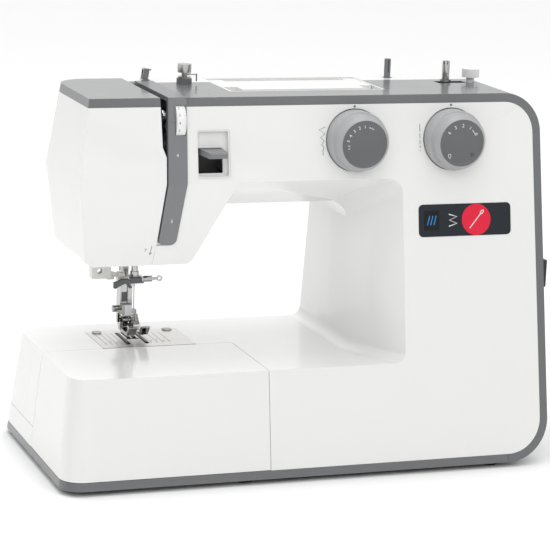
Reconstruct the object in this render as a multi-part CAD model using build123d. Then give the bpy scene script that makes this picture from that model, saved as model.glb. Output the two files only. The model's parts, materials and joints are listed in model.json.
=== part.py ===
from build123d import *
import os
from math import atan2, cos, pi, radians, sin, sqrt, tan

# Sewing machine with a free arm, in millimetres.
# +Z is up, +X runs towards the handwheel, and the user sits on the -Y side.
# The origin is on the table, under the centre of the whole machine.

# ---- driving dimensions ----------------------------------------------------
FOOT_HEIGHT = 4.0
BASE_LEFT, BASE_RIGHT = -207.5, 187.5      # ends of the base, at its bottom edge
BASE_FRONT, BASE_REAR = -96.0, 96.0        # front and rear of the base, at its bottom edge
TOP = 289.0                                # top of the arm
BED = 85.5                                 # top of the free arm
BAND = 6.5                                 # width of the grey edge band
BASE_TOP = FOOT_HEIGHT + BAND
WALL = 2.5                                 # wall of the moulded covers
SEAM = 0.15                                # gap at a parting line
FRONT_LEAN = tan(radians(9.93))            # the front face leans back
REAR_LEAN = tan(radians(7.8))              # the rear face leans forward
PART_Y = 32.0                              # parting plane, shafts and needle

TRAY_RIGHT = -45.0                         # seam between accessory tray and column foot
ARM_FRONT = 6.6                            # front wall of the free arm
COLUMN_WALL = 40.5                         # inner wall of the column
ARM_BOTTOM = 200.0                         # underside of the arm
CREASE_X, CREASE_Z = 67.0, 226.0           # where the front face turns into the throat bevel
BEVEL_DEPTH = 53.0
HEAD_BOTTOM = 160.0

SHAFT_Z = 236.0                            # main shaft
LOWER_Z = 45.0                             # lower shaft
NEEDLE_X = -119.0
PRESSER_X, PRESSER_Y = -122.5, 46.0
HOOK_Z = 53.0
RUNNING = 0.05                             # radial clearance of a shaft in its bush
FIT_GAP = 0.3                              # gap between bodies that slide on each other


# ---- small helpers ---------------------------------------------------------
def front_y(z):
    return BASE_FRONT + FRONT_LEAN * (z - FOOT_HEIGHT)


def rear_y(z):
    return BASE_REAR - REAR_LEAN * (z - FOOT_HEIGHT)


def block(x0, x1, y0, y1, z0, z1):
    middle = ((x0 + x1) / 2, (y0 + y1) / 2, (z0 + z1) / 2)
    return Pos(*middle) * Box(x1 - x0, y1 - y0, z1 - z0)


def rod_x(x0, x1, y, z, radius):
    return Pos((x0 + x1) / 2, y, z) * Rot(0, 90, 0) * Cylinder(radius, x1 - x0)


def rod_y(x, y0, y1, z, radius):
    return Pos(x, (y0 + y1) / 2, z) * Rot(90, 0, 0) * Cylinder(radius, y1 - y0)


def rod_z(x, y, z0, z1, radius):
    return Pos(x, y, (z0 + z1) / 2) * Cylinder(radius, z1 - z0)


def polygon_y(corners, y0, y1):
    """Prism along Y over (x, z, corner radius) points."""
    points = [(x, y0, z) for x, z, r in corners]
    path = FilletPolyline(*points, radius=[r for x, z, r in corners], close=True)
    return extrude(make_face(path), amount=y1 - y0, dir=(0, 1, 0))


def polygon_x(corners, x0, x1):
    """Prism along X over (y, z, corner radius) points."""
    points = [(x0, y, z) for y, z, r in corners]
    path = FilletPolyline(*points, radius=[r for y, z, r in corners], close=True)
    return extrude(make_face(path), amount=x1 - x0, dir=(1, 0, 0))


def polygon_z(corners, z0, z1):
    """Prism along Z over (x, y, corner radius) points."""
    points = [(x, y, z0) for x, y, r in corners]
    path = FilletPolyline(*points, radius=[r for x, y, r in corners], close=True)
    return extrude(make_face(path), amount=z1 - z0, dir=(0, 0, 1))


def inset(corners, amount):
    """Move every side of a counter-clockwise outline inwards by the same amount."""
    count = len(corners)
    result = []
    for i in range(count):
        x0, z0, r0 = corners[i - 1]
        x1, z1, radius = corners[i]
        x2, z2, r2 = corners[(i + 1) % count]
        a = atan2(z1 - z0, x1 - x0)
        b = atan2(z2 - z1, x2 - x1)
        turn = sin(b - a)
        # both shifted sides meet at this point
        shift_x = amount * (cos(b) - cos(a)) / turn
        shift_z = amount * (sin(b) - sin(a)) / turn
        new_radius = radius - amount if turn > 0 else radius + amount
        result.append((x1 + shift_x, z1 + shift_z, max(new_radius, 0) if radius else 0))
    return result


def front_plane(x, z, depth=0.0):
    """Plane on the leaning front face: local X right, local Y up the face, Z out."""
    lean = atan2(FRONT_LEAN, 1)
    outward = Vector(0, -cos(lean), sin(lean))
    origin = Vector(x, front_y(z), z) - outward * depth
    return Plane(origin=origin, x_dir=(1, 0, 0), z_dir=outward)


def round_vertical(solid, x_limits, y_limits, radius):
    """Round the upright edges whose middle lies in the given box in plan."""
    edges = []
    for edge in solid.edges():
        middle = edge.position_at(0.5)
        low, high = edge.bounding_box().min, edge.bounding_box().max
        upright = high.Z - low.Z > 15
        inside = x_limits[0] < middle.X < x_limits[1] and y_limits[0] < middle.Y < y_limits[1]
        if upright and inside:
            edges.append(edge)
    return fillet(edges, radius)


# ---- outer forms -----------------------------------------------------------
BODY_OUTLINE = [
    (-45.0, FOOT_HEIGHT, 0),
    (BASE_RIGHT, FOOT_HEIGHT, 34),
    (184.0, TOP, 30),
    (-180.5, TOP, 0),
    (-189.0, CREASE_Z, 0),
    (-178.0, HEAD_BOTTOM, 9),
    (-95.3, HEAD_BOTTOM, 8),
    (-77.4, ARM_BOTTOM, 0),
    (COLUMN_WALL, ARM_BOTTOM, 0),
    (COLUMN_WALL, BED, 0),
    (-45.0, BED, 0),
]
HEAD_CORNER = 6                            # place of the head's lower right corner in the outline


def throat_bevel(amount):
    """Funnel of two slanted faces that leads from the front face into the throat."""
    lean = atan2(FRONT_LEAN, 1)
    up = Vector(0, sin(lean), cos(lean))
    level = Plane(origin=(0, front_y(0), 0), x_dir=(1, 0, 0), z_dir=up)
    slope = (CREASE_X - COLUMN_WALL) / BEVEL_DEPTH
    x_out = CREASE_X + 12 * slope + amount
    points = [(x_out, -12), (COLUMN_WALL + amount, BEVEL_DEPTH), (-200, BEVEL_DEPTH), (-200, -12)]
    path = Polyline(*[level.from_local_coords((x, y, 0)) for x, y in points], close=True)
    column_part = extrude(make_face(path), amount=400, dir=up)
    deep = (front_y(ARM_BOTTOM + amount) + BEVEL_DEPTH / cos(lean), ARM_BOTTOM + amount)
    crease = (front_y(CREASE_Z + amount), CREASE_Z + amount)
    far = (crease[0] + (crease[0] - deep[0]) * 0.3, crease[1] + (crease[1] - deep[1]) * 0.3)
    arm_part = polygon_x(
        [
            (*far, 0),
            (-200, far[1], 0),
            (-200, BED - amount, 0),
            (deep[0], BED - amount, 0),
            (*deep, 0),
        ],
        -300,
        200,
    )
    (x0, z0, r0), (x1, z1, r1) = inset(BODY_OUTLINE, amount)[HEAD_CORNER:HEAD_CORNER + 2]
    head_slope = (x1 - x0) / (z1 - z0)
    right_of_head = polygon_y(
        [
            (x0 - head_slope * (z0 - BED + amount), BED - amount, 0),
            (200, BED - amount, 0),
            (200, 300, 0),
            (x1 + head_slope * (300 - z1), 300, 0),
        ],
        -200,
        100,
    )
    return column_part & arm_part & right_of_head


def round_throat(solid):
    """Round the corners where the throat's faces meet each other and the bed."""
    for upper, radius in ((True, 13), (False, 9)):
        corner = []
        for edge in solid.edges():
            middle = edge.position_at(0.5)
            box = edge.bounding_box()
            if box.size.Y < 15 or not COLUMN_WALL - 1 < middle.X < CREASE_X + 1:
                continue
            on_bed = abs(middle.Z - BED) < 0.5
            under_arm = ARM_BOTTOM - 1 < box.min.Z and middle.Z < CREASE_Z
            if box.size.Z < 1 and middle.X > COLUMN_WALL + 1:
                under_arm = False
            if (upper and under_arm) or (not upper and on_bed):
                corner.append(edge)
        solid = fillet(corner, radius)
    return solid


def leaning_block(amount, left, right, low, high, left_radius, right_radius):
    """Block between the leaning front and rear faces; left and right are (x at z=0, x per z)."""
    wedge = polygon_x(
        [
            (front_y(low) + amount, low, 0),
            (rear_y(low) - amount, low, 0),
            (rear_y(high) - amount, high, 0),
            (front_y(high) + amount, high, 0),
        ],
        -300,
        250,
    )
    sides = polygon_y(
        [
            (left[0] + left[1] * low + amount, low, 0),
            (right[0] + right[1] * low - amount, low, 0),
            (right[0] + right[1] * high - amount, high, 0),
            (left[0] + left[1] * high + amount, high, 0),
        ],
        -130,
        130,
    )
    solid = wedge & sides
    if left_radius:
        solid = round_vertical(solid, (-300, -150), (-130, 130), left_radius - amount)
    if right_radius:
        solid = round_vertical(solid, (150, 200), (0, 130), right_radius - amount)
    return solid


def body_form(amount):
    """Column, arm and head as one solid, with every face moved in by the amount."""
    prism = polygon_y(inset(BODY_OUTLINE, amount), -120, 120)
    plan = leaning_block(amount, (-260, 0), (BASE_RIGHT, -0.0123), -10, 300, 0, 24)
    head_facet = polygon_x(
        [
            (-150, CREASE_Z + amount * 0.8, 0),
            (front_y(CREASE_Z) + amount, CREASE_Z + amount * 0.8, 0),
            (-32 + amount, HEAD_BOTTOM - 12, 0),
            (-150, HEAD_BOTTOM - 12, 0),
        ],
        -250,
        -30,
    )
    bevel = throat_bevel(amount)
    solid = (prism & plan) - head_facet - (bevel & block(-60, 200, -200, 100, 0, 300))
    if amount == 0:
        solid = round_throat(solid)
    solid = solid - (bevel & block(-200, -60, -200, 100, 0, 300))
    return round_vertical(solid, (-195, -150), (50, 110), 25 - amount)


def bed_form(amount, low, high):
    """Left part of the base: leaning walls and rounded left corners, cut to a height."""
    whole = leaning_block(amount, (BASE_LEFT - 0.43, 0.1067), (120, 0), -5, 110, 17, 0)
    return whole & block(-300, 300, -200, 200, low, high)


outer_body = body_form(0)
inner_body = body_form(WALL)
body_shell = outer_body - inner_body

# Places shared by the covers and what passes through them
FACE_SEAM = [
    (-126.3, 300, 0),
    (-124.8, 252.6, 0),
    (-121.9, 245.5, 0),
    (-122.3, 226, 0),
    (-124.1, 178.4, 0),
    (-126.8, 150, 0),
]
HEAD_OPENING = block(-152, -100, 8, 64, 150, 163.5)
STRIP_LOW = 176.3
STRIP_REAR = 40.0
STRIP_LEFT_EDGE = [(-120.0, 300, 0), (-121.0, 246, 0), (-121.3, 226.5, 0), (-123.1, STRIP_LOW, 5)]
STRIP_RIGHT_EDGE = [(-109.4, STRIP_LOW, 5), (-106.5, 226.3, 0), (-106.1, 258, 0), (-106.1, 300, 0)]
WHEEL_Y, WHEEL_Z, WHEEL_R = -38.65, 270.5, 15.3
WHEEL_X = (-114.6, -107.5)
HANDLE_X = (-62.0, 66.0)
HANDLE_Y = (-18.0, 52.0)
LIFTER_SLOT = block(-127, -117, 50, 100, 150, 208)
REVERSE_BOX = (-98.7, -72.4, 229.5, 265.1)
REVERSE_PIVOT = (-28.3, 248.5)
WINDER = (131.0, 16.0)
SPOOL = (93.0, 46.0)


def face_region(gap):
    """Everything on the left of the seam between head and face cover."""
    corners = [(x - gap, z, 0) for x, z, r in FACE_SEAM]
    return polygon_y(corners + [(-240, 150, 0), (-240, 300, 0)], -120, 120)


def band_core(amount):
    """Prism inside the grey edge band: open to the left and towards the throat."""
    corners = [
        (-250, FOOT_HEIGHT + amount, 0),
        (BASE_RIGHT - amount, FOOT_HEIGHT + amount, 34 - amount),
        (184.0 - amount, TOP - amount, 30 - amount),
        (-250, TOP - amount, 0),
    ]
    return polygon_y(corners, -120, 120)


# ---- covers ----------------------------------------------------------------
FRONT_HALF = block(-250, 250, -120, PART_Y - SEAM, -10, 320)
REAR_HALF = block(-250, 250, PART_Y, 120, -10, 320)
BASE_STRIP = block(-250, 153, -120, 120, -10, FOOT_HEIGHT + BAND + SEAM)
# the strip's place together with the take-up slot beside it
STRIP_ZONE = polygon_y(
    [(-130, 300, 0), (-130, STRIP_LOW - SEAM, 0)]
    + [(x + SEAM, max(z, STRIP_LOW - SEAM), r) for x, z, r in STRIP_RIGHT_EDGE],
    -80,
    STRIP_REAR + SEAM,
)
HANDLE_ZONE = block(*HANDLE_X, *HANDLE_Y, TOP - 20, TOP + 5)


COVER_SCREWS = [(-166, 176), (60, 274), (158, 258), (158, 24), (60, 24)]
SCREW_HOLES = [rod_y(x, rear_y(z) - 12, rear_y(z) + 5, z, 2.3) for x, z in COVER_SCREWS]


def largest(shape):
    return max(shape.solids(), key=lambda solid: solid.volume)


def reverse_opening(gap):
    x0, x1, z0, z1 = REVERSE_BOX
    plane = front_plane((x0 + x1) / 2, (z0 + z1) / 2, 4)
    rise = (z1 - z0) / cos(atan2(FRONT_LEAN, 1))
    opening = extrude(plane * RectangleRounded(x1 - x0 + gap, rise + gap, 2), amount=12, both=True)
    return opening


ARM_LEDGE = 25.6
PLATE = (-150.0, -75.0, 6.8, 60.0)
DOOR = (-148.0, -90.0, 30.5, 80.0)


def make_free_arm_shell():
    """Walls of the free arm, open towards the column, with a mouth for the hook door."""
    low, high = BASE_TOP + SEAM, BED
    region = block(-250, TRAY_RIGHT + 1, ARM_FRONT, 120, low, high)
    cavity = bed_form(WALL, low + WALL, high - WALL)
    cavity &= block(-250, 0, ARM_FRONT + WALL, 120, low + WALL, high - WALL)
    shell = (bed_form(0, low, high) & region) - cavity
    shell -= block(PLATE[0] - SEAM, PLATE[1] + SEAM, 0, PLATE[3] + SEAM, BED - 2.2, BED + 5)
    shell -= block(PLATE[0] + 5, PLATE[1] - 5, PLATE[2] + 5, PLATE[3] - 1.5, BED - 9, BED)
    shell -= block(DOOR[0] - 0.4, DOOR[1] + 0.4, 0, ARM_FRONT + WALL + 1, DOOR[2] - 0.4, DOOR[3] + 0.4)
    groove = bed_form(-1, 20, 30) - bed_form(0.5, 20, 30)
    shell -= groove & block(-250, TRAY_RIGHT - 1, ARM_FRONT, 120, ARM_LEDGE, ARM_LEDGE + 0.8)
    return largest(shell)


free_arm_shell = make_free_arm_shell()

DIALS = {"stitch": (28.4, 255.3), "length": (108.6, 254.8)}
DIAL_Y = -52.0
DIAL_R = 23.3


def make_front_frame():
    frame = (body_shell & FRONT_HALF) - band_core(BAND) - face_region(0) - BASE_STRIP
    frame = frame - STRIP_ZONE - HANDLE_ZONE
    frame -= block(WINDER[0] - 8, WINDER[0] + 16, WINDER[1] - 5.5, WINDER[1] + 5.5, 280, 300)
    frame -= rod_x(180, 195, PART_Y, SHAFT_Z, 16)
    frame -= block(180, 200, -62, -38, 136, 158)
    frame -= block(180, 200, -62, -34, 92, 118)
    return largest(frame)


def make_front_panel():
    panel = (body_shell & FRONT_HALF & band_core(BAND + SEAM)) - face_region(0) - BASE_STRIP
    panel = panel - STRIP_ZONE - HEAD_OPENING - reverse_opening(0)
    panel -= block(-50, -42, ARM_FRONT + 6, 90, 20, 78)
    for x, z in DIALS.values():
        panel -= rod_y(x, -75, -40, z, DIAL_R + 0.6)
    x, z, width, height = BADGE
    panel -= extrude(front_plane(x, z, 0.8) * RectangleRounded(width + 0.2, height + 0.2, 3.6), amount=3)
    return largest(panel) + (free_arm_shell & FRONT_HALF)


def make_rear_cover():
    cover = (body_shell & REAR_HALF) - face_region(0) - BASE_STRIP - HANDLE_ZONE
    cover = cover - HEAD_OPENING - LIFTER_SLOT - STRIP_ZONE - SCREW_HOLES
    cover -= block(-50, -42, ARM_FRONT + 6, 80, 20, 78)
    cover -= rod_z(*SPOOL, 280, 300, 4.2)
    cover -= rod_x(180, 195, PART_Y, SHAFT_Z, 16)
    for row in range(6):
        z = 40 + row * 9
        cover -= block(90, 150, 60, 110, z, z + 3)
    return largest(cover) + (free_arm_shell & REAR_HALF)


def make_face_cover():
    cover = body_shell & face_region(SEAM)
    cover = cover - HEAD_OPENING - LIFTER_SLOT - SCREW_HOLES
    cover -= block(-168.3, -159.7, -10.3, 2.3, 150, 164)
    cover -= block(-250, 0, -120, 120, TOP - BAND - SEAM, 320)
    return largest(cover)


def make_face_cap():
    cap = body_shell & face_region(SEAM)
    cap &= block(-250, 0, -120, 120, TOP - BAND, 320)
    return largest(cap)


def make_thread_guide_strip():
    """Grey strip that follows the head's front from below the crease over the top."""
    proud, thick = 1.0, 3.0
    low_y = front_y(CREASE_Z) + (-32 - front_y(CREASE_Z)) * (CREASE_Z - STRIP_LOW) / (
        CREASE_Z - HEAD_BOTTOM + 12
    )
    outside = [
        (low_y - proud, STRIP_LOW),
        (front_y(CREASE_Z) - proud, CREASE_Z),
        (front_y(TOP) - proud, TOP + 0.4),
        (STRIP_REAR, TOP + 0.4),
    ]
    inside = [
        (STRIP_REAR, TOP - thick),
        (front_y(TOP) + thick, TOP - thick),
        (front_y(CREASE_Z) + thick, CREASE_Z),
        (low_y + thick, STRIP_LOW),
    ]
    strip = polygon_x([(y, z, 0) for y, z in outside + inside], -130, -100)
    tapered = polygon_y(STRIP_LEFT_EDGE + STRIP_RIGHT_EDGE, -90, 60)
    wheel_slot = rod_x(WHEEL_X[0] - 0.6, WHEEL_X[1] + 0.5, WHEEL_Y, WHEEL_Z, WHEEL_R + 0.8)
    return (strip & tapered) - wheel_slot


def make_reverse_bezel():
    """White recess with a window that the reverse lever comes through."""
    x0, x1, z0, z1 = REVERSE_BOX
    x, z = (x0 + x1) / 2, (z0 + z1) / 2
    rise = (z1 - z0) / cos(atan2(FRONT_LEAN, 1))
    tray = extrude(front_plane(x, z, 6) * RectangleRounded(x1 - x0 - 0.2, rise - 0.2, 2), amount=5.7)
    hollow = extrude(front_plane(x, z, 4.5) * RectangleRounded(x1 - x0 - 2.2, rise - 2.2, 1.4), amount=6)
    window = extrude(front_plane(-87.0, 242.6, 8) * RectangleRounded(20.2, 18.9, 1), amount=6)
    return tray - hollow - window


BADGE = (118.7, 193.0, 77.8, 24.9)


def make_badge_plate():
    x, z, width, height = BADGE
    return extrude(front_plane(x, z, 0.7) * RectangleRounded(width, height, 3.5), amount=1.0)


# ---- base ------------------------------------------------------------------

def make_base_pan():
    """Grey pan under the whole machine: a floor with an upturned rim."""
    left = bed_form(0, FOOT_HEIGHT, BASE_TOP) - bed_form(3, FOOT_HEIGHT + 3, BASE_TOP + 2)
    rim = (body_shell & BASE_STRIP) & block(-45, 250, -120, 120, 0, BASE_TOP)
    floor = outer_body & block(-45, 153, -120, 120, FOOT_HEIGHT, FOOT_HEIGHT + 3)
    pan = (left & block(-250, -45, -120, 120, 0, BASE_TOP)) + rim + floor
    pan -= block(-46, -43, ARM_FRONT, 88, FOOT_HEIGHT + 3, 20)
    for x, y in FEET:
        pan -= rod_z(x, y, 0, 9, 2.5)
    return largest(pan)


FEET = [(-188, -77), (-62, -80), (142, -80), (-186, 76), (142, 78)]


def make_rubber_feet():
    feet = []
    for x, y in FEET:
        pad = Pos(x, y, FOOT_HEIGHT / 2) * Cone(7.5, 8.2, FOOT_HEIGHT)
        feet.append(pad + rod_z(x, y, FOOT_HEIGHT - 0.5, 6.8, 2.45))
    return Compound(feet)


def make_accessory_tray():
    """Slide-off tray around the front of the free arm, open towards the arm."""
    low = BASE_TOP + 0.4
    region = block(-250, TRAY_RIGHT - 0.4, -120, ARM_FRONT - 0.4, low, BED)
    solid = bed_form(0, low, BED) & region
    cavity = bed_form(WALL, low + WALL, BED - WALL)
    cavity &= block(-250, TRAY_RIGHT - 0.4 - WALL, -120, ARM_FRONT + 5, low + WALL, BED - WALL)
    tray = solid - cavity
    return largest(tray)


def make_shuttle_door():
    """Front door of the hook chamber, hinged along its lower edge."""
    x0, x1, z0, z1 = DOOR
    radius = WALL / 2
    door = block(x0, x1, ARM_FRONT, ARM_FRONT + WALL, z0 + radius, z1)
    door += rod_x(x0, x1, ARM_FRONT + radius, z0 + radius, radius)
    door -= block((x0 + x1) / 2 - 9, (x0 + x1) / 2 + 9, ARM_FRONT - 1, ARM_FRONT + 1, z1 - 7, z1 - 3)
    return door


GUIDE_LINES = [-144.4, -140.0, -135.9, -131.4, -108.2, -103.2, -98.5, -92.8]
NEEDLE_SLOT = (NEEDLE_X - 5.2, NEEDLE_X + 5.2, PART_Y - 1.4, PART_Y + 1.4)
FEED_BARS = [(-7.5, 18, 50), (-2.3, 36, 52), (2.3, 36, 52), (7.5, 18, 50)]


def make_needle_plate():
    x0, x1, y0, y1 = PLATE
    plate = polygon_z([(x0, y0, 2), (x1, y0, 2), (x1, y1, 2), (x0, y1, 2)], BED - 2, BED + 0.2)
    plate -= block(*NEEDLE_SLOT, BED - 3, BED + 1)
    for dx, y_low, y_high in FEED_BARS:
        plate -= block(NEEDLE_X + dx - 1.7, NEEDLE_X + dx + 1.7, y_low - 2.5, y_high + 2.5, BED - 3, BED + 1)
    for x in GUIDE_LINES:
        plate -= block(x - 0.2, x + 0.2, y0 + 9, PLATE_SCREW_Y - 6, BED, BED + 1)
    for x in PLATE_SCREW_X:
        plate -= rod_z(x, PLATE_SCREW_Y, BED - 3, BED + 1, 1.6)
    return plate


PLATE_SCREW_X, PLATE_SCREW_Y = (-142.0, -84.0), 55.2


def plate_screws():
    screws = []
    for x in PLATE_SCREW_X:
        head = rod_z(x, PLATE_SCREW_Y, BED + 0.2, BED + 1.2, 3.8)
        head -= block(x - 4, x + 4, PLATE_SCREW_Y - 0.4, PLATE_SCREW_Y + 0.4, BED + 0.7, BED + 2)
        screws.append(head + rod_z(x, PLATE_SCREW_Y, BED - 6, BED + 0.3, 1.5))
    return Compound(screws)


def make_feed_dog():
    """Toothed bars on a carrier under the needle plate."""
    carrier = block(NEEDLE_X - 12, NEEDLE_X + 12, 36, 54, BED - 8, BED - 5.5)
    carrier += block(NEEDLE_X - 12, NEEDLE_X - 5, 16, 37, BED - 8, BED - 5.5)
    carrier += block(NEEDLE_X + 5, NEEDLE_X + 12, 16, 37, BED - 8, BED - 5.5)
    for dx, y_low, y_high in FEED_BARS:
        bar = block(NEEDLE_X + dx - 1.2, NEEDLE_X + dx + 1.2, y_low, y_high, BED - 6, BED + 0.9)
        tooth_count = int((y_high - y_low) / 1.6)
        for tooth in range(tooth_count):
            y = y_low + 0.8 + tooth * 1.6
            bar -= Pos(NEEDLE_X + dx, y, BED + 1.1) * Rot(45, 0, 0) * Box(4, 0.8, 0.8)
        carrier += bar
    return carrier


# ---- drive -----------------------------------------------------------------
BUSHES = [-86.0, 20.0, 140.0]              # left end of each main shaft bush
LOWER_BUSHES = [-80.0, 52.0]
BUSH_LENGTH = 14.0
SHAFT_R, LOWER_R = 6.0, 4.0


CASTING_Y = (52.0, 56.0)


def make_arm_casting():
    """Inner frame: a back plate with bearing bosses, on a foot in the base."""
    y0, y1 = CASTING_Y
    casting = polygon_y(
        [
            (-165, 205, 4),
            (54, 205, 6),
            (54, BASE_TOP + 1, 0),
            (154, BASE_TOP + 1, 0),
            (154, 262, 8),
            (-165, 262, 8),
        ],
        y0,
        y1,
    )
    casting -= polygon_y([(72, 80, 8), (136, 80, 8), (136, 190, 8), (72, 190, 8)], y0 - 1, y1 + 1)
    casting += block(-42, 154, -30, y1, FOOT_HEIGHT + 3.2, FOOT_HEIGHT + 8)
    casting += block(-150, 54, y0, y1, FOOT_HEIGHT + 26, 74)
    for x in BUSHES:
        casting += rod_x(x, x + BUSH_LENGTH, PART_Y, SHAFT_Z, 13)
        casting += block(x, x + BUSH_LENGTH, PART_Y, y0 + 1, SHAFT_Z - 10, SHAFT_Z + 10)
    for x in LOWER_BUSHES:
        casting += rod_x(x, x + BUSH_LENGTH, PART_Y, LOWER_Z, 10)
        casting += block(x, x + BUSH_LENGTH, PART_Y, y0 + 1, LOWER_Z - 8, LOWER_Z + 8)
    for x in BUSHES:
        casting -= rod_x(x - 1, x + BUSH_LENGTH + 1, PART_Y, SHAFT_Z, SHAFT_R + 3)
    for x in LOWER_BUSHES:
        casting -= rod_x(x - 1, x + BUSH_LENGTH + 1, PART_Y, LOWER_Z, LOWER_R + 2.5)
    casting += block(-134, -108, y0, y1, 166, 212)
    for z0 in (168.0, 252.0):
        arm = block(PRESSER_X - 7, PRESSER_X + 7, PRESSER_Y - 4.8, y0 + 1, z0, z0 + 8)
        casting += arm - rod_z(PRESSER_X, PRESSER_Y, z0 - 5, z0 + 10, 3 + RUNNING)
    casting += block(NEEDLE_X - 8, NEEDLE_X + 8, 49, 55, 258, 278)
    casting -= rod_y(NEEDLE_X, 40, 60, SWING_Z, 3 + RUNNING)
    casting -= rod_y(NEEDLE_X, 45, 60, HOOK_Z, 4 + RUNNING)
    casting -= LIFTER_CLEARANCE
    return largest(casting)


LIFTER_Z = 190.0
LIFTER_Y = 61.0
LIFTER_CLEARANCE = block(-129, -116, 50.5, 80, 177, 214)


def make_bushes():
    rings = []
    for x in BUSHES:
        rings.append(
            rod_x(x, x + BUSH_LENGTH, PART_Y, SHAFT_Z, SHAFT_R + 3)
            - rod_x(x - 1, x + BUSH_LENGTH + 1, PART_Y, SHAFT_Z, SHAFT_R + RUNNING)
        )
    for x in LOWER_BUSHES:
        rings.append(
            rod_x(x, x + BUSH_LENGTH, PART_Y, LOWER_Z, LOWER_R + 2.5)
            - rod_x(x - 1, x + BUSH_LENGTH + 1, PART_Y, LOWER_Z, LOWER_R + RUNNING)
        )
    return Compound(rings)


BELT_X = (76.0, 84.0)                      # timing belt between the two shafts
MOTOR_BELT_X = (162.0, 169.0)
TIMING_R = 14.0
BIG_PULLEY_R, MOTOR_PULLEY_R = 24.0, 6.0
MOTOR_Y, MOTOR_Z = -18.0, 62.0


def pulley(x0, x1, y, z, radius, bore):
    """Flanged pulley along X, with a groove for its belt."""
    wheel = rod_x(x0 - 1.5, x0, y, z, radius + 2.2) + rod_x(x0, x1, y, z, radius)
    wheel += rod_x(x1, x1 + 1.5, y, z, radius + 2.2)
    return wheel - rod_x(x0 - 3, x1 + 3, y, z, bore)


def belt(x0, x1, centre_a, radius_a, centre_b, radius_b, thickness):
    """Closed belt around two wheels, clear of them by a small gap."""
    def loop(extra):
        (ya, za), (yb, zb) = centre_a, centre_b
        ra, rb = radius_a + extra, radius_b + extra
        length = sqrt((yb - ya) ** 2 + (zb - za) ** 2)
        heading = atan2(zb - za, yb - ya)
        spread = atan2(sqrt(length ** 2 - (ra - rb) ** 2), ra - rb)
        corners = []
        for side in (1, -1):
            angle = heading + side * spread
            corners.append((ya + ra * cos(angle), za + ra * sin(angle)))
            corners.append((yb + rb * cos(angle), zb + rb * sin(angle)))
        a1, b1, a2, b2 = corners
        middle = polygon_x([(*point, 0) for point in (a1, b1, b2, a2)], x0, x1)
        return middle + rod_x(x0, x1, ya, za, ra) + rod_x(x0, x1, yb, zb, rb)

    return loop(0.3 + thickness) - loop(0.3)


def make_main_shaft():
    return rod_x(-98, 182, PART_Y, SHAFT_Z, SHAFT_R)


def make_needle_crank():
    """Counterweighted crank disc with its pin, at the left end of the main shaft."""
    disc = rod_x(-103, -97, PART_Y, SHAFT_Z, 19) + rod_x(-107, -102, PART_Y, SHAFT_Z + 14, 3)
    return disc - rod_x(-99, -90, PART_Y, SHAFT_Z, SHAFT_R)


def make_lower_shaft():
    """Lower shaft with its belt pulley pressed on."""
    shaft = rod_x(-92, 92, PART_Y, LOWER_Z, LOWER_R)
    return shaft + pulley(*BELT_X, PART_Y, LOWER_Z, TIMING_R, LOWER_R - 0.5)


def make_handwheel():
    """Knurled wheel on the right end of the main shaft."""
    profile = [
        (0, 189.5, 0),
        (30, 189.5, 1),
        (34, 192.5, 2),
        (34, 201.0, 3),
        (30, 207.5, 2),
        (22, 207.5, 1),
        (20, 204.5, 1),
        (0, 204.5, 0),
    ]
    points = [(x, r, 0) for r, x, round_r in profile]
    path = FilletPolyline(*points, radius=[round_r for r, x, round_r in profile], close=True)
    wheel = revolve(make_face(path), axis=Axis.X, revolution_arc=360)
    wheel = Pos(0, PART_Y, SHAFT_Z) * wheel
    wheel += rod_x(182.2, 190, PART_Y, SHAFT_Z, 13)
    grips = []
    for step in range(36):
        angle = step * 2 * pi / 36
        grips.append(rod_x(193, 202, PART_Y + 35.6 * cos(angle), SHAFT_Z + 35.6 * sin(angle), 2.2))
    return wheel - grips


def make_shaft_pulleys():
    """Timing pulley and large motor pulley on the main shaft."""
    timing = pulley(*BELT_X, PART_Y, SHAFT_Z, TIMING_R, SHAFT_R)
    large = pulley(*MOTOR_BELT_X, PART_Y, SHAFT_Z, BIG_PULLEY_R, SHAFT_R)
    return Compound([timing, large])


def make_drive_belts():
    """Timing belt between the shafts, and the motor belt."""
    x0, x1 = MOTOR_BELT_X
    timing = belt(*BELT_X, (PART_Y, SHAFT_Z), TIMING_R, (PART_Y, LOWER_Z), TIMING_R, 1.6)
    motor = belt(x0, x1, (PART_Y, SHAFT_Z), BIG_PULLEY_R, (MOTOR_Y, MOTOR_Z), MOTOR_PULLEY_R, 1.6)
    return Compound([timing, motor])


def make_motor():
    can = rod_x(90, 150, MOTOR_Y, MOTOR_Z, 27) + rod_x(86, 90, MOTOR_Y, MOTOR_Z, 12)
    can += rod_x(150, 154, MOTOR_Y, MOTOR_Z, 12)
    for x in (100.0, 140.0):
        can += block(x - 4, x + 4, MOTOR_Y - 20, MOTOR_Y + 20, FOOT_HEIGHT + 8.2, MOTOR_Z - 20)
    return can - rod_x(80, 160, MOTOR_Y, MOTOR_Z, 3 + RUNNING)


def make_motor_pulley():
    """Motor shaft with its small pulley."""
    shaft = rod_x(84, 172, MOTOR_Y, MOTOR_Z, 3)
    return shaft + pulley(*MOTOR_BELT_X, MOTOR_Y, MOTOR_Z, MOTOR_PULLEY_R, 2.5)


# ---- needle and presser ----------------------------------------------------
CLAMP_TOP = 141.0
CLAMP_SCREW_Z = 133.8
SWING_Z = 272.0
NEEDLE_BAR_R = 2.7


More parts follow.
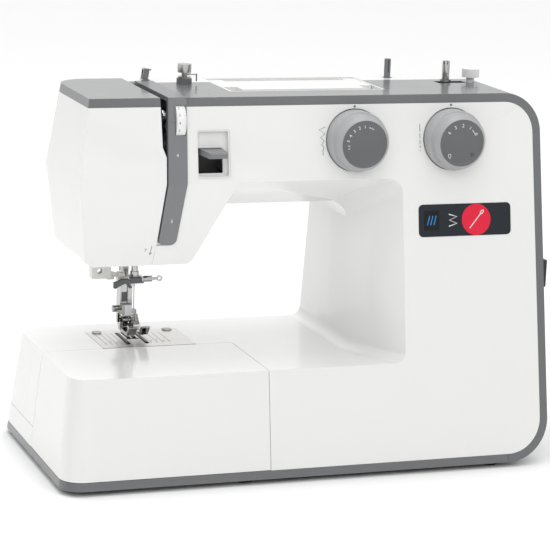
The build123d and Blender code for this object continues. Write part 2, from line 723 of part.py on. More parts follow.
def make_needle_bar_frame():
    """Swing frame that guides the needle bar; it hangs from a pivot at its top."""
    plate = block(NEEDLE_X - 6, NEEDLE_X + 6, PART_Y + 5.6, PART_Y + 7.6, 166, 278)
    for z in (166.0, 246.0):
        plate += block(NEEDLE_X - 6, NEEDLE_X + 6, PART_Y - 6, PART_Y + 6, z, z + 9)
        plate -= rod_z(NEEDLE_X, PART_Y, z - 1, z + 10, NEEDLE_BAR_R + RUNNING)
    plate += rod_y(NEEDLE_X, PART_Y + 7, 55, SWING_Z, 3)
    return plate


def make_needle_bar():
    bar = rod_z(NEEDLE_X, PART_Y, CLAMP_TOP - 3.5, 280, NEEDLE_BAR_R)
    stud = block(NEEDLE_X - 5, NEEDLE_X + 5, PART_Y - 5, PART_Y + 5, 226, 234)
    return bar + stud


def make_needle_link():
    """Connecting rod from the crank towards the needle bar stud."""
    link = block(-112.0, -108.5, PART_Y - 4, PART_Y + 4, 230, 250)
    link += rod_x(-114.0, -108.5, PART_Y, 230, 4) + rod_x(-112.0, -108.5, PART_Y, 250, 6)
    return link - rod_x(-110, -100, PART_Y, 250, 3.4)


def make_needle_clamp():
    clamp = rod_z(NEEDLE_X, PART_Y, 131, 137, 4.9) + rod_z(NEEDLE_X, PART_Y, 136, CLAMP_TOP - 0.5, 3.6)
    clamp -= rod_z(NEEDLE_X, PART_Y, CLAMP_TOP - 3.5, CLAMP_TOP, NEEDLE_BAR_R)
    clamp -= rod_z(NEEDLE_X, PART_Y, 130, 140, 0.95)
    clamp += block(NEEDLE_X + 3, NEEDLE_X + 6.2, PART_Y - 3.4, PART_Y + 3.4, 131.3, 136.7)
    clamp -= rod_x(NEEDLE_X + 2.2, NEEDLE_X + 12, PART_Y, CLAMP_SCREW_Z, 1.6)
    wire = rod_x(NEEDLE_X - 4, NEEDLE_X + 6, PART_Y - 6, 132, 0.5)
    wire += rod_y(NEEDLE_X + 6, PART_Y - 6.3, PART_Y - 3.5, 132, 0.5)
    return clamp + wire


def make_clamp_screw():
    """Clamp screw: a short thick part, a thin shank and a flat key to turn it by."""
    screw = rod_x(NEEDLE_X + 2.4, NEEDLE_X + 13, PART_Y, CLAMP_SCREW_Z, 1.55)
    screw += rod_x(NEEDLE_X + 6.5, NEEDLE_X + 14.2, PART_Y, CLAMP_SCREW_Z, 2.5)
    screw += rod_x(NEEDLE_X + 13, NEEDLE_X + 19, PART_Y, CLAMP_SCREW_Z, 1.1)
    key = rod_y(NEEDLE_X + 20.6, PART_Y - 0.9, PART_Y + 0.9, CLAMP_SCREW_Z, 2.4)
    key -= rod_y(NEEDLE_X + 20.6, PART_Y - 2, PART_Y + 2, CLAMP_SCREW_Z, 1.1)
    return screw + key


def make_needle():
    needle = rod_z(NEEDLE_X, PART_Y, 128, CLAMP_TOP - 5.2, 0.95)
    needle += rod_z(NEEDLE_X, PART_Y, 104, 128, 0.5)
    tip = Pos(NEEDLE_X, PART_Y, 102) * Rot(180, 0, 0) * Cone(0.5, 0.12, 4)
    needle += tip
    return needle - block(NEEDLE_X - 0.18, NEEDLE_X + 0.18, PART_Y - 2, PART_Y + 2, 105.5, 107.5)


PRESSER_LOW = 124.0


def make_presser_bar():
    bar = rod_z(PRESSER_X, PRESSER_Y, PRESSER_LOW, 266, 3)
    collar = rod_z(PRESSER_X, PRESSER_Y, 200, 206, 5.4) + block(
        PRESSER_X - 3, PRESSER_X + 3, PRESSER_Y, 60, 201.2, 206
    )
    return bar + collar


def make_presser_spring():
    """Coil spring around the presser bar, drawn as a plain sleeve of its outer size."""
    return rod_z(PRESSER_X, PRESSER_Y, 206.3, 251.7, 5.2) - rod_z(PRESSER_X, PRESSER_Y, 200, 260, 4.0)


def make_presser_ankle():
    """Foot holder on the lower end of the presser bar."""
    x, y = PRESSER_X, PRESSER_Y
    body = block(x - 5, x + 5, y - 5, y + 5, 104, 130) - rod_z(x, y, PRESSER_LOW, 140, 3)
    body -= rod_x(x - 6, x - 3.5, y, 107.4, 1.6)
    body += block(x - 4, x + 4, y - 8.2, y - 4, 102.5, 112)
    body += rod_x(x - 6.4, x + 6.4, FOOT_HINGE[0], FOOT_HINGE[1], 1.3)
    for side in (-1, 1):
        body += block(x + side * 6.9 - 0.8, x + side * 6.9 + 0.8, y - 8.4, y - 3.8, 98, 108)
        body += block(x + side * 5.2 - 1.6, x + side * 5.2 + 1.6, y - 8.4, y - 3.8, 105, 108)
    return largest(body)


def make_ankle_screw():
    screw = rod_x(PRESSER_X - 9, PRESSER_X - 3.5, PRESSER_Y, 107.4, 1.6)
    head = rod_x(PRESSER_X - 9.6, PRESSER_X - 5.1, PRESSER_Y, 107.4, 2.8)
    head -= block(PRESSER_X - 12, PRESSER_X - 9, PRESSER_Y - 0.35, PRESSER_Y + 0.35, 100, 115)
    return screw + head


FOOT_SOLE = 91.0
FOOT_HINGE = (PRESSER_Y - 6.6, 99.5)


def make_presser_foot():
    """Zigzag foot: upturned toe and heel, a wide needle slot and two ears for the pin."""
    sole = polygon_x(
        [
            (13.6, FOOT_SOLE + 8.0, 0.5),
            (15.2, FOOT_SOLE + 8.8, 0.5),
            (22.0, FOOT_SOLE + 2.6, 4),
            (41.0, FOOT_SOLE + 2.6, 5),
            (49.0, FOOT_SOLE + 10.8, 0.5),
            (50.6, FOOT_SOLE + 9.6, 0.5),
            (41.5, FOOT_SOLE, 5),
            (20.6, FOOT_SOLE, 5),
        ],
        NEEDLE_X - 8.5,
        NEEDLE_X + 8.5,
    )
    slot = block(NEEDLE_X - 4.6, NEEDLE_X + 4.6, 28.5, 35.2, 80, 110)
    gap = block(NEEDLE_X - 1.6, NEEDLE_X + 1.6, 0, 29, 80, 110)
    foot = sole - slot - gap
    y, z = FOOT_HINGE
    for side in (-1, 1):
        x = PRESSER_X + side * 4.4
        ear = block(x - 1.1, x + 1.1, y - 1.9, y + 3.4, FOOT_SOLE + 1, z + 2.4)
        foot += ear - rod_x(x - 3, x + 3, y, z, 1.3 + RUNNING)
    return foot


def make_presser_lifter():
    """Cam lever behind the presser bar; its handle reaches out of the rear cover."""
    lever = rod_x(-125, -119.5, LIFTER_Y, LIFTER_Z, 6)
    handle = polygon_x(
        [
            (LIFTER_Y, LIFTER_Z - 5, 0),
            (84, LIFTER_Z - 22, 3),
            (92, LIFTER_Z - 30, 2),
            (93.5, LIFTER_Z - 26, 2),
            (87, LIFTER_Z - 14, 4),
            (LIFTER_Y, LIFTER_Z + 5, 0),
        ],
        -125,
        -119.5,
    )
    lever += handle
    return lever - rod_x(-130, -110, LIFTER_Y, LIFTER_Z, 2.5 + RUNNING)


def lifter_pin():
    pin = rod_x(-134, -108, LIFTER_Y, LIFTER_Z, 2.5)
    for x in (-134.0, -112.0):
        pin += block(x, x + 4, CASTING_Y[1], LIFTER_Y, LIFTER_Z - 3, LIFTER_Z + 3)
    return pin


TAKE_UP_PIVOT = (2.0, 234.0)


def make_take_up_lever():
    """Bent arm whose eye shows in the slot of the head."""
    y, z = TAKE_UP_PIVOT
    arm = polygon_x(
        [
            (y - 3, z - 5, 2),
            (y + 5, z - 4, 3),
            (y + 4, z + 7, 3),
            (-34, 272, 4),
            (-44, 280, 1.5),
            (-48.5, 277, 1.5),
            (-40, 266, 4),
        ],
        -124.2,
        -122.4,
    )
    arm -= rod_x(-130, -120, -42.5, 274.5, 1.4)
    arm += rod_x(-126, -121, y, z, 6)
    return arm - rod_x(-130, -110, y, z, 3 + RUNNING)


def take_up_pin():
    y, z = TAKE_UP_PIVOT
    pin = rod_x(-127, -90, y, z, 3) + block(-95, -89, y - 5, y + 5, z - 5, 264)
    return pin + block(-95, -89, y + 4, CASTING_Y[0], 257, 264)


# ---- hook ------------------------------------------------------------------
def make_shuttle_race():
    ring = rod_y(NEEDLE_X, 12, 29, HOOK_Z, 20.5) - rod_y(NEEDLE_X, 11, 30, HOOK_Z, 17)
    for x in (NEEDLE_X - 19, NEEDLE_X + 12):
        ring += block(x, x + 7, 26, CASTING_Y[0], HOOK_Z - 18, HOOK_Z - 12)
    return ring - rod_y(NEEDLE_X, 11, 30, HOOK_Z, 17)


def make_shuttle_hook():
    """Oscillating hook: a cup with a pointed blade."""
    cup = rod_y(NEEDLE_X, 15, 28, HOOK_Z, 16.7) - rod_y(NEEDLE_X, 14, 25.5, HOOK_Z, 13.6)
    notch = polygon_y(
        [
            (NEEDLE_X + 4, HOOK_Z + 8, 0),
            (NEEDLE_X + 22, HOOK_Z + 4, 0),
            (NEEDLE_X + 22, HOOK_Z + 22, 0),
            (NEEDLE_X + 9, HOOK_Z + 20, 0),
        ],
        10,
        40,
    )
    return largest(cup - notch) + rod_y(NEEDLE_X, 27, 58, HOOK_Z, 4) + rod_y(NEEDLE_X, 36, 42, HOOK_Z, 8)


def make_bobbin_case():
    case = rod_y(NEEDLE_X, 13.5, 25, HOOK_Z, 13.2) - rod_y(NEEDLE_X, 14.7, 26, HOOK_Z, 11.4)
    latch = block(NEEDLE_X - 9, NEEDLE_X + 6, 12.3, 13.6, HOOK_Z - 3.5, HOOK_Z + 3.5)
    finger = block(NEEDLE_X - 3, NEEDLE_X + 3, 12.5, 14.6, HOOK_Z + 11, HOOK_Z + 16)
    return case + latch + finger + rod_y(NEEDLE_X, 13.6, 24.5, HOOK_Z, 2.6)


def make_bobbin():
    bobbin = rod_y(NEEDLE_X, 15.2, 16.2, HOOK_Z, 10.6) + rod_y(NEEDLE_X, 23.6, 24.6, HOOK_Z, 10.6)
    bobbin += rod_y(NEEDLE_X, 16, 24, HOOK_Z, 4.2)
    return bobbin - rod_y(NEEDLE_X, 10, 30, HOOK_Z, 2.6 + FIT_GAP)



# ---- controls --------------------------------------------------------------
def make_dial(name):
    """Dial with a waisted side and a dished face, on a stub shaft with its cams."""
    x, z = DIALS[name]
    profile = [
        (0, -4, 0),
        (DIAL_R, -4, 0.5),
        (DIAL_R, 9, 0.6),
        (21.6, 10.2, 1.2),
        (21.2, 12.2, 1.5),
        (21.2, 16.5, 1.2),
        (18.4, 20, 0.8),
        (16.8, 20, 0.5),
        (15.4, 19.2, 1.5),
        (0, 19.2, 0),
    ]
    points = [(r, 0, h) for r, h, round_r in profile]
    path = FilletPolyline(*points, radius=[round_r for r, h, round_r in profile], close=True)
    dial = revolve(make_face(path), axis=Axis.Z, revolution_arc=360)
    dial += Pos(0, 0, -12) * Cylinder(4, 18)
    dial += Pos(1.5, 0, -15) * Cylinder(11, 4)
    dial += Pos(-1.5, 1.5, -19) * Cylinder(10, 4)
    return Plane(origin=(x, DIAL_Y, z), x_dir=(1, 0, 0), z_dir=(0, -1, 0)).location * dial


def make_tension_dial():
    """Numbered tension wheel that shows through the strip, knurled at its right edge."""
    x0, x1 = WHEEL_X
    wheel = rod_x(x0, x1, WHEEL_Y, WHEEL_Z, WHEEL_R)
    grooves = []
    for step in range(48):
        angle = step * 2 * pi / 48
        y = WHEEL_Y + (WHEEL_R + 0.25) * cos(angle)
        z = WHEEL_Z + (WHEEL_R + 0.25) * sin(angle)
        grooves.append(rod_x(x1 - 2, x1 + 1, y, z, 0.6))
    return wheel - grooves - rod_x(x0 - 1, x1 + 1, WHEEL_Y, WHEEL_Z, 2 + RUNNING)


def tension_post():
    post = rod_x(-119, -95, WHEEL_Y, WHEEL_Z, 2) + rod_x(-106.7, -104.9, WHEEL_Y, WHEEL_Z, 6)
    post += rod_x(-103.5, -101.5, WHEEL_Y, WHEEL_Z, 6)
    post += block(-98, -94, WHEEL_Y - 4, CASTING_Y[0], 268, 276)
    return post + block(-98, -94, CASTING_Y[0] - 4, CASTING_Y[0], 258, 276)


def make_reverse_lever():
    """Flat lever that tapers towards its front, on a stem behind the window."""
    y, z = REVERSE_PIVOT
    side = polygon_x(
        [
            (-63.6, 249.4, 1.6),
            (-63.6, 245.0, 1.6),
            (-47.0, 246.2, 0),
            (y, 246.2, 0),
            (y, 250.6, 0),
            (-47.0, 250.8, 0),
        ],
        -110,
        -60,
    )
    plan = polygon_z(
        [
            (-91.1, -63.6, 2.5),
            (-76.8, -63.6, 2.5),
            (-77.6, -43.0, 0),
            (-83.0, -43.0, 0),
            (-83.0, y, 0),
            (-88.0, y, 0),
            (-88.0, -43.0, 0),
            (-94.8, -43.0, 0),
            (-94.8, -48.8, 0),
        ],
        230,
        260,
    )
    lever = (side & plan) + rod_x(-90.5, -80.5, y, z, 4)
    return lever - rod_x(-110, -60, y, z, 2 + RUNNING)


def reverse_pin():
    y, z = REVERSE_PIVOT
    x = (REVERSE_BOX[0] + REVERSE_BOX[1]) / 2
    pin = rod_x(x - 12, x + 12, y, z, 2)
    for side in (-1, 1):
        pin += block(x + side * 10 - 2, x + side * 10 + 2, y - 4, 10, z - 4, z + 4)
    pin += block(x - 12, x + 12, 6, 12, z - 4, 266) + block(x - 4, x + 4, 6, CASTING_Y[0], 258, 266)
    return pin


# ---- top -------------------------------------------------------------------
HANDLE_PIVOT_Y, HANDLE_PIVOT_Z = 43.0, 282.5


def make_handle_well():
    """Sunk tray that the carrying handle folds into."""
    x0, x1 = HANDLE_X
    y0, y1 = HANDLE_Y
    well = block(x0 + SEAM, x1 - SEAM, y0 + SEAM, y1 - SEAM, TOP - 15, TOP - 0.1)
    well -= block(x0 + 2, x1 - 2, y0 + 2, y1 - 2, TOP - 13, TOP + 1)
    return well


def handle_pins():
    """Two pivot pins in the side walls of the well."""
    x0, x1 = HANDLE_X
    left = rod_x(x0 + 2, x0 + 9, HANDLE_PIVOT_Y, HANDLE_PIVOT_Z, 2)
    right = rod_x(x1 - 9, x1 - 2, HANDLE_PIVOT_Y, HANDLE_PIVOT_Z, 2)
    return Compound([left, right])


def make_carry_handle():
    """Flat handle: two arms and a broad grip, flush with the top when folded."""
    x0, x1 = HANDLE_X[0] + 2.5, HANDLE_X[1] - 2.5
    low, high = TOP - 8.5, TOP - 0.3
    grip = block(x0 + 11, x1 - 11, -8, 36, low, high)
    hollow = block(x0 + 14, x1 - 14, -5, 33, low - 1, high - 2.5)
    arms = block(x0, x0 + 11.1, 6, HANDLE_PIVOT_Y + 4, low, high)
    arms += block(x1 - 11.1, x1, 6, HANDLE_PIVOT_Y + 4, low, high)
    handle = grip + arms - hollow
    handle -= rod_x(x0 - 5, x0 + 8, HANDLE_PIVOT_Y, HANDLE_PIVOT_Z, 2 + RUNNING)
    handle -= rod_x(x1 - 8, x1 + 5, HANDLE_PIVOT_Y, HANDLE_PIVOT_Z, 2 + RUNNING)
    round_off = block(x0 - 1, x1 + 1, HANDLE_PIVOT_Y, HANDLE_PIVOT_Y + 10, TOP - 20, TOP + 2)
    return handle - (round_off - rod_x(x0 - 2, x1 + 2, HANDLE_PIVOT_Y, HANDLE_PIVOT_Z, 4.6))


def make_spool_pin():
    x, y = SPOOL
    pin = rod_z(x, y, 262, 304, 2.6)
    for angle in (0, 90):
        pin -= Pos(x, y, 300) * Rot(0, 0, angle) * Box(0.8, 7, 14)
    return largest(pin)


def make_winder_spindle():
    x, y = WINDER
    spindle = rod_z(x, y, 270, 306, 3) + rod_z(x, y, 289.8, 291.4, 4.4)
    for angle in (0, 60, 120):
        spindle -= Pos(x, y, 306.5) * Rot(0, 0, angle) * Box(0.8, 8, 6)
    wheel = rod_z(x, y, 271, 275, 9)
    return largest(spindle + wheel)


def make_winder_arm():
    x, y = WINDER
    arm = block(x - 6, x + 6, y - 5, y + 5, 277, 286) - rod_z(x, y, 270, 295, 3 + RUNNING)
    arm += block(x + 5, x + 12, y - 2, y + 2, 278, 286)
    return arm


def make_winder_stop():
    x, y = WINDER[0] + 21, WINDER[1] - 1.5
    stop = rod_z(x, y, TOP, TOP + 4.5, 3.2) + rod_z(x, y, TOP + 4.3, TOP + 11, 7)
    return stop


def make_pretension_base():
    return rod_z(-85.4, 24, TOP, TOP + 4.5, 6)


def pretension_disc():
    x, y = -85.4, 24
    disc = rod_z(x, y, TOP + 4.6, TOP + 6, 5) + rod_z(x, y, TOP + 5.5, TOP + 9, 2.2)
    disc += rod_z(x, y, TOP + 9, TOP + 15.5, 5.4)
    disc += rod_x(x + 2, x + 10, y - 1, TOP + 7.5, 0.6) + rod_z(x + 9.6, y - 1, TOP + 2, TOP + 8, 0.6)
    return disc


def top_thread_guide():
    """Bent plate hook at the rear of the take-up slot, leaning to the right."""
    guide = block(-3, 3, -3, 3, -0.5, 0.9)
    guide += block(-3, 3, 1.2, 2.2, 0, 9)
    guide += block(-3, 3, -3.2, 2.2, 8.1, 9)
    guide += block(-3, -0.6, -3.2, -2.3, 4.4, 9)
    leaning = Pos(-111.0, 44.0, TOP + 0.5) * Rot(0, 8, 0) * guide
    return leaning & block(-130, -90, 30, 60, TOP, TOP + 20)


# ---- small outside parts ---------------------------------------------------
def make_needle_threader():
    """Lever block of the needle threader, on its guide rod under the head."""
    x = -147.0
    body = block(x - 7.5, x + 8, PART_Y - 4, PART_Y + 4, 136, 148)
    body -= rod_y(x - 1, PART_Y - 6, PART_Y + 6, 142, 2.2)
    body += block(x - 3, x + 3, PART_Y - 3, PART_Y + 3, 147, 196)
    body += block(x + 6, x + 12, PART_Y + 1, PART_Y + 4, 134, 140)
    return body - rod_z(x, PART_Y, 130, 200, 1.5 + FIT_GAP)


def threader_rod():
    x = -147.0
    rod = rod_z(x, PART_Y, 150, 252, 1.5)
    for z in (234.0, 246.0):
        rod += block(x - 4, x + 4, PART_Y - 2, CASTING_Y[0], z, z + 4)
    return rod


def make_led_lamp():
    lamp = block(-172, -156, -14, 6, 163.2, 168)
    return lamp + block(-168, -160, -10, 2, 161.6, 163.4)


def switch_housing():
    x0 = BASE_RIGHT - 20.5
    housing = block(x0, 192.4, -61.8, -38.2, 136.2, 157.8)
    housing -= block(x0 + 2, 200, -59.8, -40.2, 138.2, 155.8)
    return housing


def make_power_rocker():
    y, z = -50.0, 147.0
    rocker = block(184, 193.4, y - 9.3, y + 9.3, z - 7.4, z + 7.4)
    rocker += rod_y(181.5, y - 9.3, y + 9.3, z, 4)
    hollow = Pos(199.4, y, z) * Rot(90, 0, 0) * Cylinder(7.4, 30)
    return rocker - hollow - rod_y(181.5, y - 12, y + 12, z, 1.5 + RUNNING)


def rocker_pin():
    return rod_y(181.5, -59.8, -40.2, 147, 1.5)


def make_power_inlet():
    """Two-pin appliance inlet, set into the right side under the switch."""
    housing = block(170, 188.4, -61.8, -34.2, 92.2, 117.8)
    housing -= block(173, 200, -57, -39, 98, 112)
    for y in (-52.0, -44.0):
        housing += rod_x(172, 186, y, 105, 1.2)
    return housing + switch_housing() + block(170, 172, -61.8, -38.2, 117, 137)


def cover_screws():
    screws = []
    for x, z in COVER_SCREWS:
        y = rear_y(z)
        screws.append(rod_y(x, y - WALL - 4, y - 0.4, z, 2.2))
    return Compound(screws)


def make_pivot_pins():
    """Fixed pins, rods and posts that the levers turn and slide on."""
    groups = [lifter_pin(), take_up_pin(), tension_post(), reverse_pin(), threader_rod(), rocker_pin()]
    solids = []
    for group in groups + [handle_pins()]:
        solids += group.solids()
    return Compound(solids)


def make_screws():
    return Compound(plate_screws().solids() + cover_screws().solids())


def make_top_thread_guides():
    return Compound(pretension_disc().solids() + top_thread_guide().solids())


NODES = {
    "base_pan": make_base_pan,
    "rubber_feet": make_rubber_feet,
    "accessory_tray": make_accessory_tray,
    "shuttle_door": make_shuttle_door,
    "front_frame": make_front_frame,
    "front_panel": make_front_panel,
    "rear_cover": make_rear_cover,
    "face_cover": make_face_cover,
    "face_cap": make_face_cap,
    "thread_guide_strip": make_thread_guide_strip,
    "reverse_bezel": make_reverse_bezel,
    "badge_plate": make_badge_plate,
    "needle_plate": make_needle_plate,
    "screws": make_screws,
    "feed_dog": make_feed_dog,
    "arm_casting": make_arm_casting,
    "shaft_bushes": make_bushes,
    "main_shaft": make_main_shaft,
    "needle_crank": make_needle_crank,
    "handwheel": make_handwheel,
    "shaft_pulleys": make_shaft_pulleys,
    "drive_belts": make_drive_belts,
    "lower_shaft": make_lower_shaft,
    "motor": make_motor,
    "motor_pulley": make_motor_pulley,
    "needle_bar_frame": make_needle_bar_frame,
    "needle_bar": make_needle_bar,
    "needle_link": make_needle_link,
    "needle_clamp": make_needle_clamp,
    "clamp_screw": make_clamp_screw,
    "needle": make_needle,
    "take_up_lever": make_take_up_lever,
    "presser_bar": make_presser_bar,
    "presser_spring": make_presser_spring,
    "presser_ankle": make_presser_ankle,
    "ankle_screw": make_ankle_screw,
    "presser_foot": make_presser_foot,
    "presser_lifter": make_presser_lifter,
    "shuttle_race": make_shuttle_race,
    "shuttle_hook": make_shuttle_hook,
    "bobbin_case": make_bobbin_case,
    "bobbin": make_bobbin,
    "stitch_dial": lambda: make_dial("stitch"),
    "length_dial": lambda: make_dial("length"),
    "tension_dial": make_tension_dial,
    "pivot_pins": make_pivot_pins,
    "reverse_lever": make_reverse_lever,
    "handle_well": make_handle_well,
    "carry_handle": make_carry_handle,
    "spool_pin": make_spool_pin,
    "winder_arm": make_winder_arm,
    "winder_spindle": make_winder_spindle,
    "winder_stop": make_winder_stop,
    "pretension_base": make_pretension_base,
    "top_thread_guides": make_top_thread_guides,
    "needle_threader": make_needle_threader,
    "led_lamp": make_led_lamp,
    "power_rocker": make_power_rocker,
    "power_inlet": make_power_inlet,
}

os.makedirs("parts", exist_ok=True)
for name, build_node in NODES.items():
    export_step(build_node(), "parts/" + name + ".step")
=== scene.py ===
import json
import math

import bmesh
import bpy
from mathutils import Matrix, Vector


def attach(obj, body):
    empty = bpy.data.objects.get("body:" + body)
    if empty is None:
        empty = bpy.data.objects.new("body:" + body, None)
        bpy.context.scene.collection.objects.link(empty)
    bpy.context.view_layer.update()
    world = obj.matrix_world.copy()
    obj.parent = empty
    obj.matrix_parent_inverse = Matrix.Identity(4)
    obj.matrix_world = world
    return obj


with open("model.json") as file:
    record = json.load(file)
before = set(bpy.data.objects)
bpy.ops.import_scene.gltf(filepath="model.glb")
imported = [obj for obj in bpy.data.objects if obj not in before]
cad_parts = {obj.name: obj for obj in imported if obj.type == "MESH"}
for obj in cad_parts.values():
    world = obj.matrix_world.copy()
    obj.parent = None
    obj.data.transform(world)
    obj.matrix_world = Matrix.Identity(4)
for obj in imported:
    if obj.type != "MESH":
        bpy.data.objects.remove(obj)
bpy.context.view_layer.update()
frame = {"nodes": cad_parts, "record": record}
scene = bpy.context.scene
MM = 0.001


# ---- camera ------------------------------------------------------------------
camera_data = bpy.data.cameras.new("camera")
camera_data.sensor_width = 36.0
camera_data.lens = 157.6
camera_data.clip_start = 0.1
camera_data.clip_end = 20.0
camera = bpy.data.objects.new("camera", camera_data)
scene.collection.objects.link(camera)
scene.camera = camera
azimuth, elevation, roll = math.radians(-20.21), math.radians(12.53), math.radians(2.23)
back = Vector((
    math.sin(azimuth) * math.cos(elevation),
    -math.cos(azimuth) * math.cos(elevation),
    math.sin(elevation),
))
level = Vector((math.cos(azimuth), math.sin(azimuth), 0.0))
upward = back.cross(level)
right = level * math.cos(roll) + upward * math.sin(roll)
upward = upward * math.cos(roll) - level * math.sin(roll)
target = Vector((-0.0192, -0.016, 0.1439))
distance = 1.8761
turn = Matrix((right, upward, back)).transposed().to_4x4()
camera.matrix_world = Matrix.Translation(target + back * distance) @ turn


# ---- materials ---------------------------------------------------------------
PLASTIC_IOR = 1.46
BROAD_SCALE = 14.0         # scale of the slow changes of shade and gloss
BUMP_DEPTH = 0.0002
COARSE_GRAIN = 0.2         # above this the gloss follows the grain


def material(name, color, roughness, metallic=0.0, coat=0.0, coat_roughness=0.05, grain=0.0,
             grain_scale=900.0, rough_spread=0.06, tint=0.03, stretch=(1.0, 1.0, 1.0)):
    """Principled material with fine bump, uneven roughness and a slight change of shade."""
    made = bpy.data.materials.new(name)
    made.use_nodes = True
    tree = made.node_tree
    shader = tree.nodes["Principled BSDF"]
    shader.inputs["Metallic"].default_value = metallic
    shader.inputs["IOR"].default_value = PLASTIC_IOR
    shader.inputs["Coat Weight"].default_value = coat
    shader.inputs["Coat Roughness"].default_value = coat_roughness
    place = tree.nodes.new("ShaderNodeTexCoord")
    mapping = tree.nodes.new("ShaderNodeMapping")
    mapping.inputs["Scale"].default_value = stretch
    tree.links.new(place.outputs["Object"], mapping.inputs["Vector"])

    broad = tree.nodes.new("ShaderNodeTexNoise")
    broad.inputs["Scale"].default_value = BROAD_SCALE
    broad.inputs["Detail"].default_value = 4.0
    tree.links.new(mapping.outputs["Vector"], broad.inputs["Vector"])
    fine = tree.nodes.new("ShaderNodeTexNoise")
    fine.inputs["Scale"].default_value = grain_scale
    fine.inputs["Detail"].default_value = 3.0
    tree.links.new(mapping.outputs["Vector"], fine.inputs["Vector"])

    shade = tree.nodes.new("ShaderNodeMixRGB")
    shade.inputs["Color1"].default_value = (*[c * (1 - tint) for c in color], 1)
    shade.inputs["Color2"].default_value = (*[min(1, c * (1 + tint)) for c in color], 1)
    tree.links.new(broad.outputs["Fac"], shade.inputs["Fac"])
    tree.links.new(shade.outputs["Color"], shader.inputs["Base Color"])

    gloss = tree.nodes.new("ShaderNodeMapRange")
    gloss.inputs["To Min"].default_value = max(0.02, roughness - rough_spread)
    gloss.inputs["To Max"].default_value = min(1.0, roughness + rough_spread)
    tree.links.new((fine if grain > COARSE_GRAIN else broad).outputs["Fac"], gloss.inputs["Value"])
    tree.links.new(gloss.outputs["Result"], shader.inputs["Roughness"])

    if grain:
        bump = tree.nodes.new("ShaderNodeBump")
        bump.inputs["Strength"].default_value = grain
        bump.inputs["Distance"].default_value = BUMP_DEPTH
        tree.links.new(fine.outputs["Fac"], bump.inputs["Height"])
        tree.links.new(bump.outputs["Normal"], shader.inputs["Normal"])
    return made


def make_materials(table):
    """Materials from rows of colour, roughness and the other settings."""
    return {name: material(name, *row[:2], **row[2]) for name, row in table.items()}


# finishes of the record's slots
looks = make_materials({
    "shell_white": ((0.80, 0.80, 0.79), 0.22,
        dict(coat=0.5, coat_roughness=0.04, grain=0.006, grain_scale=260, tint=0.006)),
    "band_grey": ((0.15, 0.154, 0.158), 0.26, dict(coat=0.3, grain=0.012, grain_scale=500, tint=0.03)),
    "trim_grey": ((0.19, 0.197, 0.205), 0.32, dict(grain=0.06, grain_scale=1800, tint=0.03)),
    "dial_grey": ((0.37, 0.375, 0.38), 0.34, dict(grain=0.12, grain_scale=2600, tint=0.04)),
    "badge_dark": ((0.014, 0.018, 0.024), 0.16, dict(coat=0.5, grain=0.01, tint=0.05)),
    "black_plastic": ((0.02, 0.02, 0.021), 0.4, dict(grain=0.1, grain_scale=2200, tint=0.1)),
    "clear_lens": ((0.88, 0.87, 0.82), 0.12, dict(coat=0.4, grain=0.02, tint=0.02)),
    "rubber": ((0.03, 0.03, 0.032), 0.72, dict(grain=0.35, grain_scale=1500, tint=0.15)),
    "plate_steel": ((0.66, 0.65, 0.63), 0.34,
        dict(metallic=0.9, grain=0.25, grain_scale=700,
             stretch=(0.05, 2.5, 1.0), rough_spread=0.1, tint=0.05)),
    "steel": ((0.56, 0.56, 0.57), 0.3,
        dict(metallic=1.0, grain=0.12, grain_scale=900,
             stretch=(1.0, 1.0, 0.1), rough_spread=0.1, tint=0.06)),
    "chrome": ((0.46, 0.455, 0.45), 0.08,
        dict(metallic=1.0, grain=0.02, grain_scale=400, rough_spread=0.04)),
    "cast_alloy": ((0.48, 0.48, 0.49), 0.5, dict(metallic=0.9, grain=0.5, grain_scale=500, tint=0.1)),
    "bush_brass": ((0.62, 0.46, 0.2), 0.3, dict(metallic=1.0, grain=0.1, grain_scale=900, tint=0.06)),
    "motor_paint": ((0.03, 0.03, 0.035), 0.45, dict(grain=0.3, grain_scale=800, tint=0.1)),
})
# finishes of the pieces added here
extra = make_materials({
    "pearl": ((0.80, 0.79, 0.76), 0.28, dict(coat=0.2, grain=0.02, grain_scale=300, tint=0.01)),
    "inset_grey": ((0.085, 0.085, 0.088), 0.6, dict(grain=0.1, grain_scale=1800, tint=0.05)),
    "print_dark": ((0.14, 0.14, 0.145), 0.5, dict(grain=0.05, tint=0.1)),
    "print_light": ((0.78, 0.79, 0.80), 0.45, dict(grain=0.05, tint=0.02)),
    "signal_red": ((0.72, 0.012, 0.045), 0.22, dict(coat=0.4, grain=0.01, tint=0.03)),
    "glow_blue": ((0.03, 0.25, 0.60), 0.3, dict(grain=0.02, tint=0.05)),
    "window_black": ((0.004, 0.005, 0.008), 0.12, dict(coat=0.5, tint=0.1)),
    "knob_white": ((0.80, 0.80, 0.80), 0.3, dict(grain=0.05, grain_scale=900, tint=0.02)),
    # painted shade: near-black finish for the sheets that darken the feed pits
    "gap_dark": ((0.03, 0.03, 0.032), 0.6, dict(grain=0.1, tint=0.1)),
    "dial_face": ((0.12, 0.124, 0.13), 0.36, dict(grain=0.08, grain_scale=2200, tint=0.04)),
    "dark_steel": ((0.10, 0.10, 0.11), 0.22, dict(metallic=1.0, grain=0.05, grain_scale=700, tint=0.1)),
    # painted reflection: light finish for the plate that stands for white mirrored in the chrome presser
    # ankle
    "pale_metal": ((0.80, 0.80, 0.84), 0.35,
        dict(metallic=0.3, grain=0.05, grain_scale=700, tint=0.03)),
})
# nodes whose finish isn't their slot's
special = {"needle_threader": "pearl", "winder_stop": "knob_white", "feed_dog": "dark_steel",
           "tension_dial": "knob_white", "pretension_base": "band_grey"}

record = frame["record"]
slot_of = {entry["node"]: entry["material_slot"] for entry in record["subparts"]}
SHARP_ANGLE = 38           # degrees; sharper edges than this are rounded
